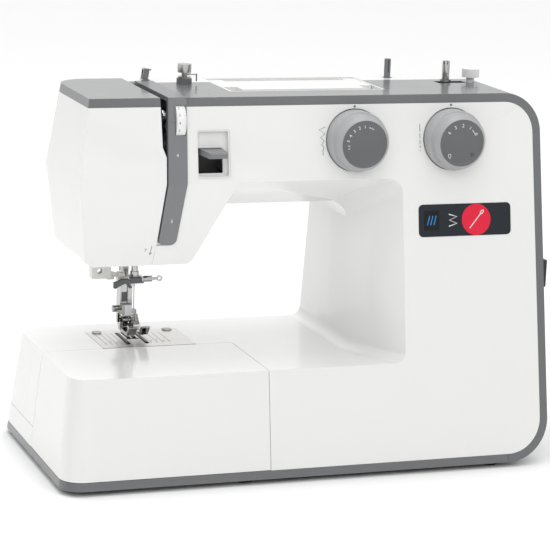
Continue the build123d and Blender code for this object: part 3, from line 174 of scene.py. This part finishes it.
# width of the rounding on each node's edges, in mm
BEVELS = {
    "front_frame": 0.9, "front_panel": 0.35, "rear_cover": 0.6, "face_cover": 0.7, "face_cap": 0.9,
    "base_pan": 0.6, "accessory_tray": 1.2, "thread_guide_strip": 0.5, "reverse_bezel": 0.3,
    "badge_plate": 0.3, "stitch_dial": 0.25, "length_dial": 0.25, "reverse_lever": 0.5,
    "carry_handle": 0.6, "handle_well": 0.3, "handwheel": 0.5, "needle_threader": 0.5,
    "presser_foot": 0.25, "presser_ankle": 0.3, "needle_clamp": 0.25, "needle_plate": 0.15,
    "winder_stop": 0.5, "power_rocker": 0.4, "presser_lifter": 0.5, "shuttle_door": 0.3,
}
for name, node in frame["nodes"].items():
    choice = special.get(name, slot_of[name])
    look = extra[choice] if choice in extra else looks[choice]
    node.data.materials.clear()
    node.data.materials.append(look)
    if name in BEVELS:
        weld = node.modifiers.new("weld", "WELD")
        weld.merge_threshold = 2e-6
        bevel = node.modifiers.new("bevel", "BEVEL")
        bevel.width = BEVELS[name] * MM
        bevel.segments = 3
        bevel.limit_method = "ANGLE"
        bevel.angle_limit = math.radians(SHARP_ANGLE)
        node.modifiers.new("weighted", "WEIGHTED_NORMAL")


# ---- helpers for new pieces --------------------------------------------------
FRONT_SLOPE = 0.17506      # how far the front face goes back for each unit of height
LEAN = math.atan(FRONT_SLOPE)
FRONT_LOW_Y, FRONT_LOW_Z = -96.0, 4.0
FACET_TOP_Z, FACET_LOW_Y, FACET_LOW_Z = 226.0, -32.0, 148.0


def front_y(z):
    """Y of the leaning front face at a height, in mm."""
    return FRONT_LOW_Y + FRONT_SLOPE * (z - FRONT_LOW_Z)


def front_place(x, z, out=0.0):
    """Frame on the front face at x, z (mm): its X runs right, Y up the face and Z out of it."""
    normal = Vector((0, -math.cos(LEAN), math.sin(LEAN)))
    along = Vector((0, math.sin(LEAN), math.cos(LEAN)))
    origin = Vector((x, front_y(z), z)) + normal * out
    place = Matrix((Vector((1, 0, 0)), along, normal)).transposed().to_4x4()
    return Matrix.Translation(origin * MM) @ place


def face_place(x, y, z):
    """Upright frame that faces the user at a point in mm: X right, Y up and Z towards the user."""
    place = Matrix((Vector((1, 0, 0)), Vector((0, 0, 1)), Vector((0, -1, 0)))).transposed().to_4x4()
    return Matrix.Translation(Vector((x, y, z)) * MM) @ place


def facet_place(x, z, out=0.0):
    """Frame on the head's lower facet at x, z (mm)."""
    top_y = front_y(FACET_TOP_Z)
    along = Vector((0, top_y - FACET_LOW_Y, FACET_TOP_Z - FACET_LOW_Z)).normalized()
    normal = Vector((1, 0, 0)).cross(along)
    y = top_y + (FACET_LOW_Y - top_y) * (FACET_TOP_Z - z) / (FACET_TOP_Z - FACET_LOW_Z)
    place = Matrix((Vector((1, 0, 0)), along, normal)).transposed().to_4x4()
    return Matrix.Translation((Vector((x, y, z)) + normal * out) * MM) @ place


def flat_place(x, y, z):
    """Level frame at a point in mm, Z up."""
    return Matrix.Translation(Vector((x, y, z)) * MM)


def add_piece(name, data, place, body, look):
    """Object for the data at its place, with its body, finish and slot."""
    piece = bpy.data.objects.new(name, data)
    scene.collection.objects.link(piece)
    piece.matrix_world = place
    data.materials.append(look)
    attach(piece, body)
    return piece


def plate(name, outline, thickness, place, body, look, edge=0.0):
    """Flat piece with the given outline (mm) that stands on its plane."""
    mesh = bpy.data.meshes.new(name)
    form = bmesh.new()
    corners = [form.verts.new((x * MM, y * MM, 0)) for x, y in outline]
    face = form.faces.new(corners)
    lifted = bmesh.ops.extrude_face_region(form, geom=[face])
    moved = [part for part in lifted["geom"] if isinstance(part, bmesh.types.BMVert)]
    bmesh.ops.translate(form, verts=moved, vec=(0, 0, thickness * MM))
    bmesh.ops.recalc_face_normals(form, faces=form.faces)
    form.to_mesh(mesh)
    form.free()
    piece = add_piece(name, mesh, place, body, look)
    if edge:
        bevel = piece.modifiers.new("bevel", "BEVEL")
        bevel.width = edge * MM
        bevel.segments = 3
        bevel.limit_method = "ANGLE"
        bevel.angle_limit = math.radians(50)
    return piece


def turned(name, profile, count, place, body, look):
    """Turned piece: a closed profile of (radius, height) in mm around its Z, from axis to axis."""
    mesh = bpy.data.meshes.new(name)
    form = bmesh.new()
    rings = []
    for radius, height in profile:
        points = disc_outline(radius, count) if radius else [(0, 0)]
        rings.append([form.verts.new((x * MM, y * MM, height * MM)) for x, y in points])
    for low, high in zip(rings, rings[1:]):
        for i in range(count):
            j = (i + 1) % count
            ends = [low[i % len(low)], low[j % len(low)], high[j % len(high)], high[i % len(high)]]
            form.faces.new(list(dict.fromkeys(ends)))
    bmesh.ops.recalc_face_normals(form, faces=form.faces)
    for face in form.faces:
        face.smooth = True
    form.to_mesh(mesh)
    form.free()
    mesh.set_sharp_from_angle(angle=math.radians(35))
    return add_piece(name, mesh, place, body, look)


def disc_outline(radius, count):
    """Points of a circle (mm)."""
    angles = [2 * math.pi * i / count for i in range(count)]
    return [(radius * math.cos(angle), radius * math.sin(angle)) for angle in angles]


def rounded_outline(width, height, radius, count=8):
    """Rectangle (mm) about its centre, with rounded corners."""
    points = []
    for corner, (sx, sy) in enumerate(((1, 1), (-1, 1), (-1, -1), (1, -1))):
        for i in range(count + 1):
            angle = math.pi / 2 * (corner + i / count)
            points.append((sx * (width / 2 - radius) + radius * math.cos(angle),
                           sy * (height / 2 - radius) + radius * math.sin(angle)))
    return points


def line(name, strokes, width, place, body, look, height=0.06):
    """Printed or engraved line work: each stroke is a list of points (mm) on its plane."""
    curve = bpy.data.curves.new(name, "CURVE")
    curve.dimensions = "3D"
    for points in strokes:
        spline = curve.splines.new("POLY")
        spline.points.add(len(points) - 1)
        for point, (x, y) in zip(spline.points, points):
            point.co = (x * MM, y * MM, height * MM * 0.2, 1)
    curve.bevel_depth = width * MM / 2
    curve.bevel_resolution = 2
    curve.use_fill_caps = True
    source = bpy.data.objects.new(name, curve)
    scene.collection.objects.link(source)
    mesh = bpy.data.meshes.new_from_object(source.evaluated_get(bpy.context.evaluated_depsgraph_get()))
    bpy.data.objects.remove(source)
    for vertex in mesh.vertices:
        vertex.co.z = max(-0.02 * MM, min(vertex.co.z, height * MM))
    mesh.materials.clear()
    return add_piece(name, mesh, place, body, look)


def figure(name, text, size, place, body, look, height=0.05):
    """Raised figure, such as a number on a dial."""
    curve = bpy.data.curves.new(name, "FONT")
    curve.body = text
    curve.size = size * MM
    curve.align_x = "CENTER"
    curve.align_y = "CENTER"
    curve.extrude = height * MM
    source = bpy.data.objects.new(name, curve)
    scene.collection.objects.link(source)
    mesh = bpy.data.meshes.new_from_object(source.evaluated_get(bpy.context.evaluated_depsgraph_get()))
    bpy.data.objects.remove(source)
    mesh.materials.clear()
    return add_piece(name, mesh, place, body, look)


def spin(angle):
    """Turn about Z, in degrees."""
    return Matrix.Rotation(math.radians(angle), 4, "Z")


def shift(x, y, z=0.0):
    """Move in mm."""
    return Matrix.Translation(Vector((x, y, z)) * MM)


# ---- dials -------------------------------------------------------------------
DIALS = {"stitch": (28.4, 255.3), "length": (108.6, 254.8)}
DIAL_DEPTH = -52.0 - 19.2
PRINT_OUT = 0.22           # how far the figures stand out of the dial's face
INDEX_Z = 280.7
INLAY = [(0, 0.2), (15.2, 0.2), (15.9, 0.4), (16.7, 0.92), (17.9, 0.92), (18.2, 0.78), (16.9, 0.6),
         (15.4, -0.1), (0, -0.1)]
dial_faces = {name: face_place(x, DIAL_DEPTH - PRINT_OUT, z) for name, (x, z) in DIALS.items()}
stitch_face, length_face = dial_faces["stitch"], dial_faces["length"]
for name, (x, z) in DIALS.items():
    turned(name + "_dial_inlay", INLAY, 96, face_place(x, DIAL_DEPTH, z), name + "_dial",
           extra["dial_face"])
    plate(name + "_index", disc_outline(0.95, 24), 0.06, front_place(x, INDEX_Z), "frame",
          extra["print_dark"])
for index, (text, angle) in enumerate((("5", 168), ("4", 150), ("3", 130), ("2", 110), ("1", 91))):
    place = stitch_face @ spin(angle - 90) @ shift(0, 13.3)
    figure("stitch_figure_%d" % index, text, 3.4, place, "stitch_dial", extra["print_light"])
line("stitch_marks", [[(-13.6, -1.0), (-11.6, -0.9)], [(-13.2, -3.4), (-11.6, -3.0)],
                      [(3.0, 12.4), (4.0, 13.0), (4.6, 11.8), (5.6, 12.6), (6.2, 11.2), (7.2, 11.6)]],
     0.45, stitch_face, "stitch_dial", extra["print_light"])
for index, (text, angle) in enumerate((("4", 144), ("3", 116), ("2", 88), ("1", 60), ("0", 30))):
    place = length_face @ spin(angle - 90) @ shift(0, 13.2)
    figure("length_figure_%d" % index, text, 3.6, place, "length_dial", extra["print_light"])
line("length_marks", [[(8.3, 10.0), (10.6, 7.0)],
                      [(-10.6, -8.6), (-8.6, -8.6), (-8.6, -10.8), (-10.6, -10.8), (-10.6, -8.6)],
                      [(-10.4, -12.0), (-8.8, -12.0)]],
     0.45, length_face, "length_dial", extra["print_light"])
line("length_symbol", [[(8.2, -8.2), (8.2, -10.6), (9.3, -10.6), (9.3, -8.2), (8.2, -8.2)],
                       [(10.6, -8.2), (10.6, -10.6)]],
     0.45, length_face, "length_dial", extra["window_black"])

# printed marks beside the dials
zigzag = [(2.9, 10.9), (-2.4, 8.8), (2.5, 5.6), (-1.3, 2.9), (1.7, 0.2), (-0.5, -2.4), (1.4, -5.0),
          (0.5, -7.0), (0.6, -10.6)]
line("zigzag_symbol", [zigzag], 0.5, front_place(1.4, 255.0), "frame", extra["print_dark"])
dashes = [[(0, 11.0), (0, 5.4)], [(0, 4.0), (0, 0.2)], [(0, -1.2), (0, -4.0)], [(0, -5.4), (0, -7.4)],
          [(0, -8.8), (0, -9.8)]]
line("dash_symbol", dashes, 0.55, front_place(82.0, 255.6), "frame", extra["print_dark"])

# ---- badge -------------------------------------------------------------------
BADGE_OUT = 0.3            # how far the badge plate stands out of the front face
BADGE_Z = 193.0
WINDOW_X, MARK_X = 90.5, 108.6
DISC_X, DISC_Z = 128.1, 192.9
plate("badge_window", rounded_outline(12.6, 15.2, 0.4), 0.12, front_place(WINDOW_X, BADGE_Z, BADGE_OUT),
      "frame", extra["window_black"])
window_strokes = [[(x, -3.6), (x + 2.0, 3.6)] for x in (-3.6, -0.9, 1.8)]
line("badge_window_mark", window_strokes, 0.8,
     front_place(WINDOW_X, BADGE_Z + 0.2, BADGE_OUT + 0.14), "frame", extra["glow_blue"])
line("badge_mark", [[(-3.6, 4.6), (3.2, 2.6), (-3.2, 0.0), (3.2, -2.6), (-3.6, -4.8)]], 0.9,
     front_place(MARK_X, BADGE_Z, BADGE_OUT), "frame", extra["print_light"])
plate("badge_disc", disc_outline(12.2, 96), 0.2, front_place(DISC_X, DISC_Z, BADGE_OUT), "frame",
      extra["signal_red"])
needle_mark = [(-5.6, -6.6), (3.6, 4.2)]
eye_mark = [(3.6, 4.2), (3.6, 5.6), (4.9, 7.0), (6.2, 7.2), (6.0, 5.8), (4.9, 4.4), (3.6, 4.2)]
line("badge_disc_mark", [needle_mark, eye_mark], 0.75, front_place(DISC_X, DISC_Z, BADGE_OUT + 0.22),
     "frame", extra["print_light"])

# ---- head: strip, tension wheel, reverse window --------------------------------
figure("strip_figure_4", "4", 3.6, front_place(-113.9, 246.8, 1.02), "frame", extra["print_light"])
figure("strip_figure_5", "5", 3.8, facet_place(-115.0, 196.3, 1.02), "frame", extra["print_light"])
line("strip_index", [[(-2.4, 0), (2.2, 0)]], 0.4, front_place(-117.2, 271.2, 1.0), "frame",
     extra["print_dark"])
figure("cover_figure_7", "7", 3.8, facet_place(-132.4, 172.6, 0.02), "frame", extra["print_dark"])
line("cover_arrow", [[(0.4, 4.0), (-0.4, -3.6)], [(-1.3, -1.8), (-0.4, -3.8), (0.9, -2.0)]], 0.5,
     facet_place(-128.2, 172.4), "frame", extra["print_dark"])
WHEEL_X, WHEEL_Y, WHEEL_Z, WHEEL_R = -112.6, -38.65, 270.5, 15.3
for index, (text, angle) in enumerate((("2", -46), ("3", -24), ("4", -2), ("5", 20), ("6", 42))):
    lift = math.radians(-angle)
    out = Vector((0, -math.cos(lift), math.sin(lift)))
    along = Vector((0, math.sin(lift), math.cos(lift)))
    spot = Vector((WHEEL_X, WHEEL_Y, WHEEL_Z)) + out * (WHEEL_R + 0.02)
    facing = Matrix((Vector((1, 0, 0)), along, out)).transposed().to_4x4()
    figure("tension_figure_%d" % index, text, 2.9, Matrix.Translation(spot * MM) @ facing, "tension_dial",
           extra["print_dark"])
liner = [(-44.0, 229.6), (-34.0, 229.6), (-34.0, 244.2), (-34.5, 244.2), (-34.5, 230.2), (-44.0, 230.2)]
side = Matrix((Vector((0, 1, 0)), Vector((0, 0, 1)), Vector((1, 0, 0)))).transposed().to_4x4()
plate("reverse_liner", liner, 23.0, Matrix.Translation(Vector((-98.6, 0, 0)) * MM) @ side, "frame",
      extra["inset_grey"])
wing = [(-46.6, 233.0), (-34.6, 233.0), (-34.6, 251.0), (-43.4, 251.0)]
for index, x in enumerate((-98.6, -76.0)):
    plate("reverse_liner_side_%d" % index, wing, 0.4, Matrix.Translation(Vector((x, 0, 0)) * MM) @ side,
          "frame", extra["inset_grey"])

# ---- needle plate and feed ---------------------------------------------------
PLATE_Z = 85.7
guides = [[(x, 16.0), (x, y)] for x, y in ((-108.2, 43.5), (-103.2, 46.5), (-98.5, 49.5), (-92.8, 49.5))]
guides += [[(x, 15.8), (x, 51.5)] for x in (-144.4, -140.0, -135.9, -131.4)]
guides += [[(x, 21.5), (x + 1.6, 21.5)] for x in (-108.2, -103.2, -98.5, -92.8)]
guides += [[(x, 21.5), (x + 1.6, 21.5)] for x in (-144.4, -140.0, -135.9)]
line("plate_guides", guides, 0.38, flat_place(0, 0, PLATE_Z), "frame", extra["print_dark"])
plate_figures = (("3", -138.4, 27), ("2", -133.8, 24), ("2", -106.0, 24), ("3", -101.0, 27),
                 ("5", -96.0, 22))
for index, (text, x, y) in enumerate(plate_figures):
    figure("plate_figure_%d" % index, text, 3.0, flat_place(x, y, PLATE_Z), "frame", extra["print_dark"])
SCREW_RING_R = 3.9
ring_angles = [i / 8 * math.pi for i in range(17)]
ring = [(SCREW_RING_R * math.cos(angle), SCREW_RING_R * math.sin(angle)) for angle in ring_angles]
line("plate_screw_ring", [ring], 0.5, flat_place(-84.0, 55.2, PLATE_Z), "frame", extra["print_dark"])
# near-black sheets below the needle plate's slots: painted shade in the feed pits
for name, low, high in (("front", 13.5, 28.0), ("back", 36.0, 54.0)):
    plate("feed_pit_shade_" + name, [(-130, low), (-108, low), (-108, high), (-130, high)], 0.3,
          flat_place(0, 0, 73.8), "frame", extra["gap_dark"])

# ---- needle and presser details ----------------------------------------------
arm = [(-138.1, 133.9), (-135.5, 134.5), (-131.8, 136.1), (-126.2, 136.4), (-124.4, 134.2),
       (-125.8, 133.4), (-122.9, 129.2), (-125.2, 128.4), (-128.5, 132.7), (-132.6, 130.9),
       (-136.4, 128.7), (-138.2, 129.1)]
plate("threader_arm", arm[::-1], 2.4, face_place(0, 25.2, 0), "needle_threader", extra["dark_steel"],
      edge=0.3)
holder = [(-133.2, 131.6), (-127.7, 131.4), (-127.7, 138.2), (-128.8, 140.0), (-132.4, 140.2),
          (-133.4, 138.8)]
plate("threader_holder", holder, 7.5, face_place(0, 35.6, 0), "needle_threader", extra["pearl"],
      edge=0.5)
plate("threader_pin", disc_outline(1.9, 32), 66.0, flat_place(-129.8, 31.6, 141.6), "needle_threader",
      looks["chrome"], edge=0.1)
plate("threader_bridge", [(-141.0, 137.6), (-133.0, 136.2), (-133.0, 139.6), (-141.0, 141.4)], 3.0,
      face_place(0, 33.4, 0), "needle_threader", extra["pearl"], edge=0.3)
plate("clamp_front", [(-124.0, 131.4), (-114.2, 131.4), (-114.2, 136.6), (-124.0, 136.6)], 2.6,
      face_place(0, 28.6, 0), "needle_drive", extra["dark_steel"], edge=0.5)
plate("ankle_recess", [(-126.4, 114.0), (-121.6, 114.0), (-121.6, 121.6), (-126.4, 121.6)], 0.25,
      face_place(0, 41.0, 0), "presser", extra["dark_steel"], edge=0.05)
# light plate on the ankle's front: a painted reflection of white in its chrome face
plate("ankle_front_painted_reflection", [(-124.4, 103.2), (-118.7, 103.2), (-118.7, 111.8), (-124.4, 111.8)], 0.3,
      face_place(0, 37.8, 0), "presser", extra["pale_metal"], edge=0.05)

# ---- stage, lights -----------------------------------------------------------
floor_mesh = bpy.data.meshes.new("floor")
floor_mesh.from_pydata([(-6, -6, 0), (6, -6, 0), (6, 6, 0), (-6, 6, 0)], [], [(0, 1, 2, 3)])
floor = bpy.data.objects.new("floor", floor_mesh)
scene.collection.objects.link(floor)
floor_mesh.materials.append(material("floor", (0.93, 0.93, 0.93), 0.9, tint=0.0, rough_spread=0.0))

world = bpy.data.worlds.new("world")
scene.world = world
world.use_nodes = True
sky = world.node_tree
backdrop = sky.nodes["Background"]
backdrop.inputs["Color"].default_value = (1, 1, 1, 1)
backdrop.inputs["Strength"].default_value = 1.0
studio = sky.nodes.new("ShaderNodeBackground")
studio.inputs["Color"].default_value = (1, 1, 1, 1)
ray = sky.nodes.new("ShaderNodeLightPath")
blend = sky.nodes.new("ShaderNodeMixShader")
sky.links.new(ray.outputs["Is Camera Ray"], blend.inputs[0])
sky.links.new(studio.outputs["Background"], blend.inputs[1])
sky.links.new(backdrop.outputs["Background"], blend.inputs[2])
sky.links.new(blend.outputs["Shader"], sky.nodes["World Output"].inputs["Surface"])
direction = sky.nodes.new("ShaderNodeTexCoord")
parts = sky.nodes.new("ShaderNodeSeparateXYZ")
sky.links.new(direction.outputs["Generated"], parts.inputs["Vector"])


def ramp(source, low, high, bottom, top):
    """Value that goes from bottom to top while the source goes from low to high."""
    node = sky.nodes.new("ShaderNodeMapRange")
    for socket, value in (("From Min", low), ("From Max", high), ("To Min", bottom), ("To Max", top)):
        node.inputs[socket].default_value = value
    sky.links.new(source, node.inputs["Value"])
    return node.outputs["Result"]


def combine(operation, *terms):
    """Math node of a kind on sockets or plain numbers."""
    node = sky.nodes.new("ShaderNodeMath")
    node.operation = operation
    for socket, term in zip(node.inputs, terms):
        if isinstance(term, float):
            socket.default_value = term
        else:
            sky.links.new(term, socket)
    return node.outputs["Value"]


# brighter overhead and behind the machine, darker to both sides
overhead = ramp(parts.outputs["Z"], 0.05, 0.75, 0.40, 1.15)
behind = ramp(parts.outputs["Y"], 0.1, 0.9, 0.0, 0.5)
aside = combine("ABSOLUTE", parts.outputs["X"])
strength = combine("MULTIPLY_ADD", aside, -0.26, combine("ADD", overhead, behind))
sky.links.new(strength, studio.inputs["Strength"])


def lamp(name, size, power, place, aim):
    """Soft rectangular lamp at a place (m), turned towards another."""
    data = bpy.data.lights.new(name, "AREA")
    data.shape = "RECTANGLE"
    data.size, data.size_y = size
    data.energy = power
    light = bpy.data.objects.new(name, data)
    scene.collection.objects.link(light)
    light.location = place
    light.rotation_euler = (Vector(aim) - Vector(place)).to_track_quat("-Z", "Y").to_euler()


lamp("key", (1.8, 1.1), 11.0, (-0.88, -1.85, 1.5), (0, 0, 0.15))
lamp("fill", (0.6, 0.7), 1.8, (0.72, -1.6, 1.0), (0, 0, 0.2))
lamp("top", (1.2, 1.2), 11.0, (0.0, 0.1, 2.2), (0, 0, 0.1))
scene.view_settings.view_transform = "Standard"
scene.view_settings.look = "None"
